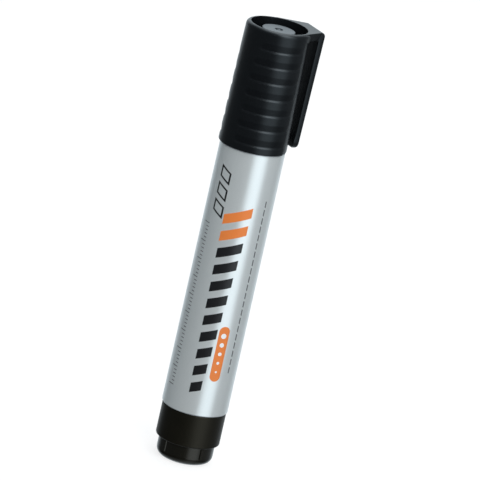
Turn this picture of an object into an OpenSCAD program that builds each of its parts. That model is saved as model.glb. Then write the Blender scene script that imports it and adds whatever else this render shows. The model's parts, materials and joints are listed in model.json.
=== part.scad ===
// Bullet-nib permanent marker, as the pieces that come apart on a bench.
// Millimetres. The axis is +Z, the foot of the end plug stands on z = 0 and the
// pocket clip hangs on the +X side of the cap, which is drawn pushed home.

/* [Barrel] */
// Diameter over the printed sleeve at the rear end
barrel_rear_d = 17.6; // [17:0.1:19]
// Diameter over the printed sleeve at the cap end
barrel_front_d = 17.3; // [16.8:0.1:18.2]
// Length of barrel that shows between end plug and cap
barrel_l = 72.7; // [50:0.1:100]
// Wall of the barrel tube
barrel_wall = 1.2; // [0.9:0.05:1.3]
// Length of the neck that the cap pushes over
neck_l = 9; // [7:0.25:10]
// Wall of the neck
neck_wall = 1.1; // [0.8:0.05:1.4]
// Height of the bead round the neck that holds the cap
bead_h = 0.2; // [0.1:0.05:0.3]
// Distance of the bead from the barrel's shoulder
bead_rise = 4; // [2:0.25:5]
// Number of ribs in the barrel that hold the ink core off its wall
barrel_rib_count = 4; // [3:1:6]
// Thickness of those ribs
barrel_rib_t = 0.8; // [0.6:0.1:1.2]
// Height of those ribs at the bore's narrower end
barrel_rib_h = 0.64; // [0.4:0.02:1.2]

/* [Printed sleeve] */
// Thickness of the printed film round the barrel
sleeve_t = 0.1; // [0.06:0.02:0.2]
// Bare barrel left at each end of the film
sleeve_margin = 0.25; // [0.1:0.05:1]

/* [End plug] */
// Diameter of the collar behind the barrel
collar_d = 17.1; // [16:0.1:17.5]
// Length of the collar
collar_l = 9.15; // [6:0.05:12]
// Rounding of the collar's lower edge
collar_round = 0.4; // [0.2:0.1:0.8]
// Diameter of the foot, on which the cap can be posted
foot_d = 15; // [14.2:0.1:15.2]
// Length of the foot
foot_l = 5.45; // [4:0.05:8]
// Rounding of the foot's lower edge
foot_round = 2; // [0.4:0.1:2.4]
// Wall of the hollow plug
plug_wall = 1.5; // [1:0.1:2]
// Length of the spigot that is pressed into the barrel
spigot_l = 7; // [5:0.5:12]
// Number of ribs round the foot, which grip the posted cap
foot_rib_count = 4; // [2:1:6]
// Width of a foot rib
foot_rib_w = 2; // [1:0.1:3]
// Height of a foot rib
foot_rib_h = 0.35; // [0.1:0.05:0.4]
// Turn of the first foot rib from the clip's side
foot_rib_turn = 9; // [0:1:89]
// Number of ribs inside the plug that push on the ink core
plug_rib_count = 4; // [3:1:6]
// Thickness of those ribs
plug_rib_t = 1; // [0.8:0.1:1.4]

/* [Ink core] */
// Thickness of the film round the core
film_t = 0.12; // [0.08:0.02:0.3]
// Distance of the core's rear end below the spigot's rim
core_seat = 1.5; // [0.5:0.25:3]

/* [Nib and holder] */
// Diameter of the fibre nib
nib_d = 4.6; // [3.5:0.1:5.2]
// Length of nib that shows past its holder
nib_out = 4.5; // [3.5:0.25:5.5]
// Depth that the nib's tail goes into the ink core
nib_tail = 10; // [6:0.5:15]
// Radius of the nib's writing point
nib_tip_r = 1.1; // [0.6:0.1:1.6]
// Diameter of the tube that holds the nib
tube_d = 7.4; // [6.8:0.1:7.8]
// Length of that tube
tube_l = 5; // [4:0.25:6]
// Length of the holder's cone
cone_l = 5.5; // [4:0.25:6.5]
// Diameter of the cone at its foot
cone_d = 11.8; // [10:0.1:12.2]
// Thickness of the holder's flange
flange_t = 1.2; // [0.8:0.1:1.6]
// Length of the holder that is pressed into the neck
holder_in = 11; // [8:0.5:13]
// Wall of the holder's hollow plug and of the sleeve round its nib
holder_wall = 1.1; // [0.8:0.1:1.5]
// Number of air slots round the holder's rear end
vent_count = 4; // [2:1:6]
// Width of an air slot
vent_w = 1.2; // [0.8:0.1:1.6]
// Depth of an air slot
vent_l = 2; // [1:0.25:4]

/* [Cap] */
// Length of the cap
cap_l = 32.7; // [31:0.1:38]
// Diameter of the cap at its mouth
cap_mouth_d = 18.4; // [18.2:0.1:20]
// Diameter of the cap at its first ring
cap_head_d = 17.5; // [17.2:0.1:18.4]
// Diameter of the cap at its rim
cap_rim_d = 17.3; // [17:0.1:18]
// Height of the head above the first ring
head_l = 5; // [3:0.1:6]
// Height of one grip ring with the groove above it
ring_pitch = 4.24; // [3:0.02:6]
// Height of each ring's straight face
ring_face = 1.9; // [1:0.1:2.4]
// Depth of the groove above each ring
ring_step = 0.24; // [0.1:0.02:0.3]
// Height of the step from groove to ring
ring_step_l = 0.6; // [0.2:0.02:0.8]
// Angle of the plain band opposite the clip, where the grooves stop
band_turn = 46; // [20:1:90]
// Rounding of the head's rim
rim_round = 1.05; // [0.4:0.05:1.2]
// Rounding of the mouth's edge
mouth_round = 0.35; // [0.2:0.05:0.5]
// Diameter of the open well in the head
well_d = 15; // [14:0.1:15.2]
// Depth of the well down to its webs
well_depth = 7; // [4:0.25:8]
// Height of the hub that carries the liner
hub_l = 5; // [3:0.25:5.5]
// Wall of the hub
hub_wall = 0.9; // [0.7:0.1:1.2]
// Number of webs between hub and cap wall
web_count = 4; // [3:1:6]
// Thickness of a web
web_t = 1; // [0.8:0.1:1.5]

/* [Cap liner] */
// Diameter of the liner
liner_d = 8.8; // [8.7:0.1:9.6]
// Depth of the liner's top below the rim
liner_recess = 1.05; // [0.2:0.05:2]
// Thickness of the liner's top
liner_top_t = 1.3; // [0.8:0.1:2]
// Length of the nib tube that the liner covers
seal_l = 4.4; // [2:0.1:4.8]
// Thickness of the flange under the hub
liner_flange_t = 1; // [0.6:0.1:1.5]

/* [Pocket clip] */
// Reach of the clip's outer face past the cap's mouth
clip_reach = 2.4; // [2.2:0.1:3.8]
// Thickness of the clip at its root
clip_t = 1.7; // [1.1:0.1:1.8]
// Thickness of the clip at its tip
clip_tip_t = 1.5; // [0.8:0.1:1.6]
// Width of the clip at its root
clip_root_w = 8.5; // [6:0.1:10]
// Width of the clip at its tip
clip_tip_w = 7.6; // [5:0.1:9]
// Distance of the clip's tip above the cap's mouth
clip_short = 0.6; // [0:0.1:8]
// Inward lean of the clip's outer face at its tip
clip_lean = 0.4; // [0:0.05:0.45]
// Height of the grip bump inside the tip
clip_bump = 0.2; // [0.1:0.05:0.3]
// Corner rounding of the clip's tip
clip_round = 1.8; // [0.5:0.1:2.4]
// Thickness of the bridge between head and clip
bridge_t = 2.2; // [1.6:0.1:2.6]
// Rounding of the bridge's outer top edge
bridge_round = 0.7; // [0.2:0.1:0.9]

/* [Hidden] */
$fn = 96;
// Radial gap of pieces that are pressed together
press_gap = 0.03;
// Radial gap of pieces that slide or turn on each other
slide_gap = 0.08;
// Gap between faces that only rest on each other
seat_gap = 0.05;
// Overlap of solids that are united or cut
weld = 0.4;
// Straight pieces in a rounded edge
round_steps = 5;
// Width of the narrow chamfer round the well
well_edge = 0.1;

// Heights along the axis
collar_z = foot_l;
barrel_z = collar_z + collar_l;
shoulder_z = barrel_z + barrel_l;
neck_z = shoulder_z + neck_l;
cone_z = neck_z + flange_t;
tube_z = cone_z + cone_l;
tube_top_z = tube_z + tube_l;
nib_tip_z = tube_top_z + nib_out;
holder_z = neck_z - holder_in;
spigot_z = barrel_z + spigot_l;
core_z = spigot_z - core_seat;
core_top_z = holder_z - seat_gap;
nib_tail_z = core_top_z - nib_tail;
mouth_z = shoulder_z + seat_gap;
rim_z = mouth_z + cap_l;
first_ring_z = rim_z - head_l;
hub_top_z = rim_z - well_depth;
hub_z = hub_top_z - hub_l;
liner_top_z = rim_z - liner_recess;
liner_z = tube_top_z - seal_l;
clip_axis_z = rim_z - bridge_t;
clip_tip_z = mouth_z + clip_short;

// Radii of the barrel and of what it holds. The neck's bead is as wide as the foot over its ribs.
tube_rear_r = barrel_rear_d / 2 - sleeve_t - press_gap;
tube_front_r = barrel_front_d / 2 - sleeve_t - press_gap;
bore_rear_r = tube_rear_r - barrel_wall;
bore_front_r = tube_front_r - barrel_wall;
post_r = foot_d / 2 + foot_rib_h;
neck_r = post_r - bead_h;
neck_bore_r = neck_r - neck_wall;
bore_end_z = shoulder_z - barrel_wall;
spigot_r = min(bore_rear_r, bore_r_at(spigot_z)) - press_gap;
holder_r = neck_bore_r - press_gap;
nib_bore_r = nib_d / 2 + press_gap;
rib_r = min(bore_rear_r, bore_front_r) - barrel_rib_h;
core_d = 2 * (rib_r - slide_gap);
core_r = core_d / 2 - film_t;

// Radii of the cap and its liner
cap_bore_r = post_r + slide_gap;
well_r = well_d / 2;
hub_bore_r = liner_d / 2 + press_gap;
hub_r = hub_bore_r + hub_wall;
liner_bore_r = tube_d / 2 + slide_gap;

// Number of grip rings above a plain band at the mouth
mouth_band = 1.5;
ring_count = floor((cap_l - head_l - mouth_band) / ring_pitch) + 1;

// Clip
clip_face_x = cap_mouth_d / 2 + clip_reach;
clip_axis_x = clip_face_x - clip_t / 2;
knuckle_r = clip_t / 2;
bridge_corner = 0.3;

// Bore radius of the barrel at a height, which follows the draft of its outside
function bore_r_at(z) =
    bore_rear_r + (bore_front_r - bore_rear_r) * (z - barrel_z) / barrel_l;

// Outside radius of the cap at a height, over its rings
function crest_r_at(z) = lookup(z, [
    [mouth_z + mouth_round, cap_mouth_d / 2],
    [first_ring_z, cap_head_d / 2],
    [rim_z - rim_round, cap_rim_d / 2]
]);

// Points of an arc from one angle to another
function arc(centre, r, from, to) = [
    for (i = [0:round_steps])
        let (a = from + (to - from) * i / round_steps)
        centre + r * [cos(a), sin(a)]
];

// Outline of the cap from its mouth to its rim, over its rings
function cap_outline() = concat(
    [[0, mouth_z]],
    arc([cap_mouth_d / 2 - mouth_round, mouth_z + mouth_round], mouth_round, -90, 0),
    [[cap_head_d / 2, first_ring_z]],
    arc([cap_rim_d / 2 - rim_round, rim_z - rim_round], rim_round, 0, 90),
    [[0, rim_z]]
);

// Outline of the groove above one grip ring. Ring 0 is just under the head.
function groove_outline(i) =
    let (
        deep_z = first_ring_z - i * ring_pitch,
        low_z = deep_z - ring_step_l,
        high_z = low_z + ring_pitch - ring_face,
        low = [crest_r_at(low_z), low_z],
        deep = [crest_r_at(deep_z) - ring_step, deep_z],
        high = [crest_r_at(high_z), high_z]
    )
    [low, deep, high, high + [weld, 0], low + [weld, 0]];

// Grooves round the cap, which stop at a plain band opposite the clip
module grooves() {
    band = cap_mouth_d * [cos(band_turn / 2), sin(band_turn / 2)];
    difference() {
        for (i = [0:ring_count - 1])
            rotate_extrude() polygon(groove_outline(i));
        translate([0, 0, mouth_z])
            linear_extrude(height = cap_l)
                polygon([[0, 0], [-band.x, band.y], [-band.x, -band.y]]);
    }
}

// Plate under the bridge: straight flanks run from the head's circle to the clip's root
module bridge_plan() {
    head_r = (cap_rim_d - rim_round) / 2;
    corner = [clip_face_x, clip_root_w / 2];
    touch_a = atan2(corner.y, corner.x) + acos(head_r / norm(corner));
    touch = head_r * [cos(touch_a), sin(touch_a)];
    polygon([
        [0, -touch.y], [touch.x, -touch.y],
        corner - [bridge_corner, 2 * corner.y], corner - [0, 2 * corner.y - bridge_corner],
        corner - [0, bridge_corner], corner - [bridge_corner, 0],
        [touch.x, touch.y], [0, touch.y]
    ]);
}

// Side outline of the bridge, with its outer top edge rounded
module bridge_side() {
    edge = [clip_face_x - bridge_round, rim_z - bridge_round];
    polygon(concat(
        [[0, clip_axis_z], [clip_face_x, clip_axis_z]],
        arc(edge, bridge_round, 0, 90),
        [[0, rim_z]]
    ));
}

// Extrudes an outline of the XZ plane along Y, centred
module across(width) {
    rotate([90, 0, 0])
        linear_extrude(height = width, center = true)
            children();
}

module bridge() {
    intersection() {
        translate([0, 0, clip_axis_z - weld])
            linear_extrude(height = bridge_t + 2 * weld)
                bridge_plan();
        across(4 * clip_root_w) bridge_side();
    }
}

// Space inside the cap: the bore for the neck and the open well in the head
module cap_space() {
    rotate_extrude()
        polygon([
            [0, mouth_z - weld], [cap_bore_r + mouth_round, mouth_z - weld],
            [cap_bore_r + mouth_round, mouth_z], [cap_bore_r, mouth_z + mouth_round],
            [cap_bore_r, hub_z - weld], [well_r, hub_z + weld],
            [well_r, rim_z - well_edge], [well_r + well_edge, rim_z],
            [well_r + well_edge, rim_z + weld], [0, rim_z + weld]
        ]);
}

// Cap shell: grooved skirt, bridge for the clip, and a hub on webs across the well
module cap_shell() {
    color("#1b1c1e") {
        difference() {
            union() {
                difference() {
                    rotate_extrude() polygon(cap_outline());
                    grooves();
                }
                bridge();
            }
            cap_space();
            translate([clip_axis_x, 0, clip_axis_z])
                rotate([90, 0, 0])
                    cylinder(r = knuckle_r + slide_gap, h = 2 * clip_root_w, center = true);
        }
        difference() {
            union() {
                translate([0, 0, hub_z]) cylinder(r = hub_r, h = hub_l);
                for (i = [0:web_count - 1])
                    rotate(i * 360 / web_count)
                        translate([hub_bore_r, -web_t / 2, hub_z])
                            cube([well_r + weld - hub_bore_r, web_t, hub_l]);
            }
            translate([0, 0, hub_z - weld]) cylinder(r = hub_bore_r, h = hub_l + 2 * weld);
        }
    }
}

// Cap liner: closed soft sleeve that seals over the nib tube and shows in the well
module cap_liner() {
    edge = 0.3;
    r = liner_d / 2;
    color("#26282b")
        rotate_extrude()
            polygon(concat(
                [[0, liner_top_z - liner_top_t], [liner_bore_r, liner_top_z - liner_top_t],
                 [liner_bore_r, liner_z + edge], [liner_bore_r + edge, liner_z], [r, liner_z],
                 [r, hub_z - seat_gap - liner_flange_t], [hub_r, hub_z - seat_gap - liner_flange_t],
                 [hub_r, hub_z - seat_gap], [r, hub_z - seat_gap]],
                arc([r - edge, liner_top_z - edge], edge, 0, 90),
                [[0, liner_top_z]]
            ));
}

// Pocket clip: springy bar under the bridge, with a round root and a bump inside its tip
module clip_side() {
    tip_r = clip_tip_t / 2;
    tip = [clip_face_x - clip_lean - tip_r, clip_tip_z + tip_r];
    translate([clip_axis_x, clip_axis_z]) circle(r = knuckle_r);
    polygon([
        [clip_axis_x - knuckle_r, clip_axis_z], tip - [tip_r, 0],
        tip + [tip_r, 0], [clip_axis_x + knuckle_r, clip_axis_z]
    ]);
    translate(tip) circle(r = tip_r);
    translate(tip + [-clip_bump, clip_tip_t]) circle(r = tip_r);
}

// Front outline of the clip, narrowing to a rounded tip
module clip_front() {
    root = clip_root_w / 2;
    tip = clip_tip_w / 2;
    round_z = clip_tip_z + clip_round;
    polygon([
        [-root, clip_axis_z + knuckle_r], [-tip, round_z], [clip_round - tip, round_z],
        [clip_round - tip, clip_tip_z], [tip - clip_round, clip_tip_z], [tip - clip_round, round_z],
        [tip, round_z], [root, clip_axis_z + knuckle_r]
    ]);
    for (side = [-1, 1])
        translate([side * (tip - clip_round), round_z]) circle(r = clip_round);
}

module pocket_clip() {
    color("#1b1c1e")
        intersection() {
            across(2 * clip_root_w) clip_side();
            rotate([90, 0, 90])
                linear_extrude(height = 2 * clip_face_x)
                    clip_front();
        }
}

// Barrel: drafted tube with a neck, a bead for the cap and ribs for the ink core
module barrel() {
    bead_z = shoulder_z + bead_rise;
    rib_z = spigot_z + weld;
    rib_top_z = bore_end_z - weld;
    color("#b9bec2") {
        rotate_extrude()
            polygon([
                [bore_rear_r, barrel_z], [tube_rear_r, barrel_z],
                [tube_front_r, shoulder_z], [neck_r, shoulder_z],
                [neck_r, bead_z - 2 * bead_h], [neck_r + bead_h, bead_z - bead_h],
                [neck_r + bead_h, bead_z + bead_h], [neck_r, bead_z + 2 * bead_h],
                [neck_r, neck_z], [neck_bore_r, neck_z],
                [neck_bore_r, bore_end_z], [bore_r_at(bore_end_z), bore_end_z]
            ]);
        for (i = [0:barrel_rib_count - 1])
            rotate((i + 0.5) * 360 / barrel_rib_count)
                across(barrel_rib_t)
                    polygon([
                        [rib_r, rib_z], [bore_r_at(rib_z) + weld, rib_z],
                        [bore_r_at(rib_top_z) + weld, rib_top_z], [rib_r, rib_top_z]
                    ]);
    }
}

// Printed sleeve: thin film wrapped round the barrel
module printed_sleeve() {
    low_z = barrel_z + sleeve_margin;
    high_z = shoulder_z - sleeve_margin;
    draft = (barrel_front_d - barrel_rear_d) / 2 / barrel_l;
    low_r = barrel_rear_d / 2 + draft * sleeve_margin;
    high_r = barrel_front_d / 2 - draft * sleeve_margin;
    color("#c9ced2")
        rotate_extrude()
            polygon([
                [low_r - sleeve_t, low_z], [low_r, low_z],
                [high_r, high_z], [high_r - sleeve_t, high_z]
            ]);
}

// Ribs round the foot, from its rounded edge up to the collar
module foot_ribs() {
    intersection() {
        translate([0, 0, foot_round])
            cylinder(r = post_r, h = collar_z - foot_round + weld);
        for (i = [0:foot_rib_count - 1])
            rotate(foot_rib_turn + i * 360 / foot_rib_count)
                translate([foot_d / 2 - weld, -foot_rib_w / 2, 0])
                    cube([collar_d, foot_rib_w, barrel_z]);
    }
}

// End plug: collar, ribbed foot, and a hollow spigot with ribs behind the ink core
module end_plug() {
    floor_z = plug_wall;
    inside_r = min(spigot_r, foot_d / 2) - plug_wall;
    seat_r = core_d / 2 + slide_gap;
    edge = 0.3;
    color("#1b1c1e") {
        rotate_extrude()
            polygon(concat(
                [[0, 0]],
                arc([foot_d / 2 - foot_round, foot_round], foot_round, -90, 0),
                [[foot_d / 2, collar_z]],
                arc([collar_d / 2 - collar_round, collar_z + collar_round], collar_round, -90, 0),
                [[collar_d / 2, barrel_z - seat_gap], [spigot_r, barrel_z - seat_gap],
                 [spigot_r, spigot_z - edge], [spigot_r - edge, spigot_z],
                 [seat_r, spigot_z], [seat_r, core_z - seat_gap],
                 [inside_r, core_z - seat_gap], [inside_r, floor_z + foot_round],
                 [inside_r - foot_round, floor_z], [0, floor_z]]
            ));
        foot_ribs();
        for (i = [0:plug_rib_count - 1])
            rotate(foot_rib_turn + (i + 0.5) * 360 / plug_rib_count)
                translate([inside_r / 2, -plug_rib_t / 2, floor_z - weld])
                    cube([inside_r / 2 + weld, plug_rib_t, core_z - seat_gap - floor_z + weld]);
    }
}

// Ink core: fibre rod with a socket for the nib's tail
module ink_core() {
    color("#4a4c52")
        difference() {
            translate([0, 0, core_z]) cylinder(r = core_r, h = core_top_z - core_z);
            translate([0, 0, nib_tail_z - seat_gap]) cylinder(r = nib_bore_r, h = nib_tail + weld);
        }
}

// Core film: thin sheath round the ink core
module core_film() {
    color("#dfe3e6")
        translate([0, 0, core_z])
            difference() {
                cylinder(d = core_d, h = core_top_z - core_z);
                translate([0, 0, -weld])
                    cylinder(r = core_r + press_gap, h = core_top_z - core_z + 2 * weld);
            }
}

// Nib holder: plug in the neck, flange, cone and nib tube, with air slots at its rear
module nib_holder() {
    edge = 0.4;
    color("#232427")
        difference() {
            rotate_extrude()
                polygon([
                    [nib_bore_r, holder_z], [holder_r - edge, holder_z], [holder_r, holder_z + edge],
                    [holder_r, neck_z + seat_gap], [neck_r - edge, neck_z + seat_gap],
                    [neck_r - edge, cone_z - edge], [neck_r - 2 * edge, cone_z],
                    [cone_d / 2, cone_z], [tube_d / 2 + edge, tube_z - edge], [tube_d / 2, tube_z],
                    [tube_d / 2, tube_top_z - edge], [tube_d / 2 - edge, tube_top_z],
                    [nib_bore_r, tube_top_z]
                ]);
            translate([0, 0, holder_z - weld])
                difference() {
                    cylinder(r = holder_r - holder_wall, h = holder_in - holder_wall + weld);
                    cylinder(r = nib_bore_r + holder_wall, h = holder_in);
                }
            for (i = [0:vent_count - 1])
                rotate(i * 360 / vent_count)
                    translate([nib_bore_r - weld, -vent_w / 2, holder_z - weld])
                        cube([holder_r, vent_w, vent_l + weld]);
        }
}

// Nib: fibre rod with a bullet point and a chamfered tail
module nib() {
    r = nib_d / 2;
    slope = 28;
    tail_edge = 0.6;
    point_r = nib_tip_r * cos(slope);
    cone_base_z = nib_tip_z - nib_tip_r * (1 - sin(slope)) - (r - point_r) / tan(slope);
    color("#2c2d33")
        rotate_extrude()
            polygon(concat(
                [[0, nib_tail_z], [r - tail_edge, nib_tail_z], [r, nib_tail_z + tail_edge],
                 [r, cone_base_z]],
                arc([0, nib_tip_z - nib_tip_r], nib_tip_r, slope, 90)
            ));
}

end_plug();
barrel();
printed_sleeve();
ink_core();
core_film();
nib_holder();
nib();
cap_liner();
cap_shell();
pocket_clip();
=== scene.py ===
"""Looks of a fat bullet-nib permanent marker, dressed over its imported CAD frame.

Metres, in the frame's own axes: +Z runs along the marker from the foot of its end plug to the rim of its
cap, and the pocket clip hangs on the +X side. Run as a script, it builds every visible piece, the stage and
the camera.
"""

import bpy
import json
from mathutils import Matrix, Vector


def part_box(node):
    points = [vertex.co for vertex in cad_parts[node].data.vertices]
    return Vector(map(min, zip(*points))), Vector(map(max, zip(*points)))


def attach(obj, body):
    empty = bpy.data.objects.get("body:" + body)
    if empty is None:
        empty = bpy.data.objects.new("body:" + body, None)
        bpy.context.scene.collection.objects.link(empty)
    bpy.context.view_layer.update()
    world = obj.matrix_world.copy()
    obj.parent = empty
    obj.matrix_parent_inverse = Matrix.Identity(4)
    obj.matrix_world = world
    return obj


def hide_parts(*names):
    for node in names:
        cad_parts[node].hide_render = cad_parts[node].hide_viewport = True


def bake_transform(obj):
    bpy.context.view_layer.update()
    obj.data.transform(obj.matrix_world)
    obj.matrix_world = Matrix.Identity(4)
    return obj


bl_info = {
    "name": "Permanent marker",
    "version": (1, 0, 0),
    "blender": (4, 5, 0),
    "location": "3D View > Sidebar > Marker",
    "description": "Builds the visible pieces of a permanent marker over its CAD frame",
    "category": "Object",
}

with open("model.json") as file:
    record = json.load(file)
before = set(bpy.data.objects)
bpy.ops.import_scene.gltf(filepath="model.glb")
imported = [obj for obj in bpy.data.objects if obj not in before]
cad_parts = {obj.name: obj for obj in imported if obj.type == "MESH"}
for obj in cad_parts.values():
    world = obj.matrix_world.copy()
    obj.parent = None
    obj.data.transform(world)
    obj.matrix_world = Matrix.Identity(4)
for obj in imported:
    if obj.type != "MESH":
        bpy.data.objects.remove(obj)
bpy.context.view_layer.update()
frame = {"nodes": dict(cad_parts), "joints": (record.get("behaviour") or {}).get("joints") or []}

import json
import math

import bmesh
import bpy
import numpy as np
from mathutils import Matrix, Vector

MM = 0.001
# Steps of a full turn
SEGMENTS = 192
# Points nearer than this are one
SAME = 1e-7
# Keeps a division by 0 finite
TINY = 1e-9
# Edges that bend by more than this are shaded sharp
SHARP = math.radians(40)

# Corners of the CAD pieces, from which the heights and radii below are taken
plug_low, plug_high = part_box("end_plug")
barrel_low, barrel_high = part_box("barrel")
sleeve_low, sleeve_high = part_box("printed_sleeve")
holder_low, holder_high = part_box("nib_holder")
nib_low, nib_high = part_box("nib")
liner_low, liner_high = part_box("cap_liner")
cap_low, cap_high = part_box("cap_shell")
clip_low, clip_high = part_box("pocket_clip")


# Properties

def length(name, description, millimetres):
    """A length property, given in millimetres and kept in metres."""
    return bpy.props.FloatProperty(
        name=name, description=description, default=millimetres * MM, min=0, unit="LENGTH", precision=5)


def angle(name, description, degrees):
    """An angle property, given in degrees and kept in radians."""
    return bpy.props.FloatProperty(
        name=name, description=description, default=math.radians(degrees), subtype="ANGLE", unit="ROTATION")


def amount(name, description, default):
    """A plain number of 0 or more."""
    return bpy.props.FloatProperty(name=name, description=description, default=default, min=0)


def count(name, description, default):
    """A whole number of 1 or more."""
    return bpy.props.IntProperty(name=name, description=description, default=default, min=1)


def colour(name, description, rgb):
    """A linear RGB colour."""
    return bpy.props.FloatVectorProperty(
        name=name, description=description, default=rgb, size=3, min=0, max=1, subtype="COLOR")


def group(kind):
    """A group of properties in the marker's settings."""
    return bpy.props.PointerProperty(type=kind)


class BarrelSizes(bpy.types.PropertyGroup):
    """Sizes of the barrel tube and its printed film."""

    wall: length("Wall", "Wall of the tube", 1.2)
    front_r: length("Front radius", "Radius over the film at the cap end", 8.65)
    neck_r: length("Neck radius", "Radius of the neck that the cap pushes over", 7.65)
    neck_l: length("Neck length", "Length of the neck", 9.0)
    neck_wall: length("Neck wall", "Wall of the neck", 1.1)
    bead_h: length("Bead height", "Height of the bead that holds the cap", 0.2)
    bead_rise: length("Bead rise", "Distance of the bead from the shoulder", 4.0)
    film_t: length("Film", "Thickness of the printed film", 0.1)
    edge: length("Edge", "Rounding of the tube's edges", 0.12)


class PlugSizes(bpy.types.PropertyGroup):
    """Sizes of the stepped plug in the barrel's rear end."""

    foot_r: length("Foot radius", "Radius of the foot", 7.5)
    foot_l: length("Foot length", "Length of the foot", 5.45)
    foot_round: length("Foot rounding", "Rounding of the foot's lower edge", 2.0)
    collar_l: length("Collar length", "Length of the collar behind the barrel", 9.1)
    collar_round: length("Collar rounding", "Rounding of the collar's lower edge", 0.4)
    spigot_r: length("Spigot radius", "Radius of the spigot in the barrel", 7.42)
    wall: length("Wall", "Wall of the hollow plug", 1.5)
    rib_count: count("Ribs", "Number of ribs round the foot", 4)
    rib_w: length("Rib width", "Width of a rib", 2.0)
    rib_h: length("Rib height", "Height of a rib", 0.35)
    rib_turn: angle("Rib turn", "Turn of the first rib from the clip's side", 9)


class NibSizes(bpy.types.PropertyGroup):
    """Sizes of the fibre nib and of the holder that carries it."""

    tip_r: length("Tip radius", "Radius of the writing point", 1.1)
    slope: angle("Slope", "Slope of the nib's bullet point from its axis", 28)
    tube_r: length("Tube radius", "Radius of the tube round the nib", 3.7)
    tube_l: length("Tube length", "Length of that tube", 5.0)
    cone_r: length("Cone radius", "Radius of the cone at its foot", 5.9)
    cone_l: length("Cone length", "Length of the cone", 5.5)
    flange_t: length("Flange", "Thickness of the flange on the neck", 1.15)
    shank_r: length("Shank radius", "Radius of the plug in the neck", 6.52)
    edge: length("Edge", "Rounding of the holder's edges", 0.25)


class CapSizes(bpy.types.PropertyGroup):
    """Sizes of the grooved cap shell."""

    head_r: length("First ring radius", "Radius of the first ring", 8.75)
    rim_r: length("Rim radius", "Radius of the head at its rim", 8.65)
    head_l: length("Head height", "Height of the head above the first ring", 5.0)
    ring_count: count("Rings", "Number of grip rings", 7)
    ring_pitch: length("Ring pitch", "Height of one grip ring with the groove above it", 4.24)
    ring_face: length("Ring face", "Height of each ring's straight face", 1.9)
    ring_step: length("Ring step", "Depth of the groove above each ring", 0.24)
    ring_step_l: length("Step height", "Height of the step from groove to ring", 0.6)
    band_turn: angle("Plain band", "Angle of the plain band opposite the clip, where the grooves stop", 40)
    band_flare: angle("Band flare", "Widening of that band at each side of the first groove", 10)
    band_flare_l: length("Flare height", "Height over which the widening dies away", 5.3)
    band_blend: length("Groove run-out", "Length over which a groove's end comes up to the band", 1.3)
    relief_turn: angle("Relief turn", "Turn from the clip to the edge of the smooth relief under it", 62)
    relief_depth: length("Relief depth", "Depth of that relief", 0.36)
    relief_blend: length("Relief edge", "Width of the relief's sloped edge", 0.4)
    rim_round: length("Rim rounding", "Rounding of the rim's outer edge", 1.05)
    rim_edge: length("Rim edge", "Rounding of the rim's inner edge", 0.08)
    mouth_round: length("Mouth rounding", "Rounding of the mouth's edges", 0.3)
    bore_r: length("Bore radius", "Radius of the bore over the neck", 7.93)
    well_r: length("Well radius", "Radius of the open well in the head", 7.5)
    well_depth: length("Well depth", "Depth of the well down to its webs", 7.0)
    hub_r: length("Hub radius", "Outer radius of the hub that carries the liner", 5.33)
    hub_bore_r: length("Hub bore", "Bore radius of the hub", 4.43)
    hub_l: length("Hub height", "Height of hub and webs", 5.0)
    web_count: count("Webs", "Number of webs between hub and wall", 4)
    web_t: length("Web", "Thickness of a web", 1.0)


class LinerSizes(bpy.types.PropertyGroup):
    """Sizes of the sealing liner in the cap."""

    r: length("Radius", "Outer radius of the liner", 4.4)
    bore_r: length("Bore radius", "Bore radius over the nib tube", 3.78)
    top_t: length("Top", "Thickness of the liner's top", 1.3)
    flange_z: length("Flange height", "Height of the flange's upper face", 108.0)
    flange_t: length("Flange", "Thickness of the flange under the hub", 1.0)
    edge: length("Edge", "Rounding of the liner's edges", 0.25)
    gate_r: length("Gate radius", "Radius of the moulding gate's dimple in the top", 1.1)
    gate_depth: length("Gate depth", "Depth of that dimple", 0.5)


class ClipSizes(bpy.types.PropertyGroup):
    """Sizes of the pocket clip and of the bridge that carries it."""

    root_w: length("Root width", "Width of the clip at its root", 8.5)
    tip_w: length("Tip width", "Width of the clip at its tip", 7.6)
    root_t: length("Root thickness", "Thickness of the clip at its root", 1.7)
    tip_t: length("Tip thickness", "Thickness of the clip at its tip", 1.5)
    lean: length("Lean", "Inward lean of the outer face at the tip", 0.4)
    bump: length("Bump", "Height of the grip bump inside the tip", 0.2)
    tip_round: length("Tip rounding", "Corner rounding of the tip", 1.8)
    bridge_t: length("Bridge", "Thickness of the bridge between head and clip", 2.2)
    outer_round: length("Outer bend", "Radius of the bend's outer side", 1.1)
    inner_round: length("Inner bend", "Radius of the bend's inner side", 0.3)
    edge: length("Edge", "Rounding of the clip's long edges", 0.2)
    flank_turn: angle("Flank turn", "Turn from the clip to where the bridge's flanks leave the head", 69)
    flex_l: length("Flex length", "Length of clip below its root that bends", 6.0)


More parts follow.
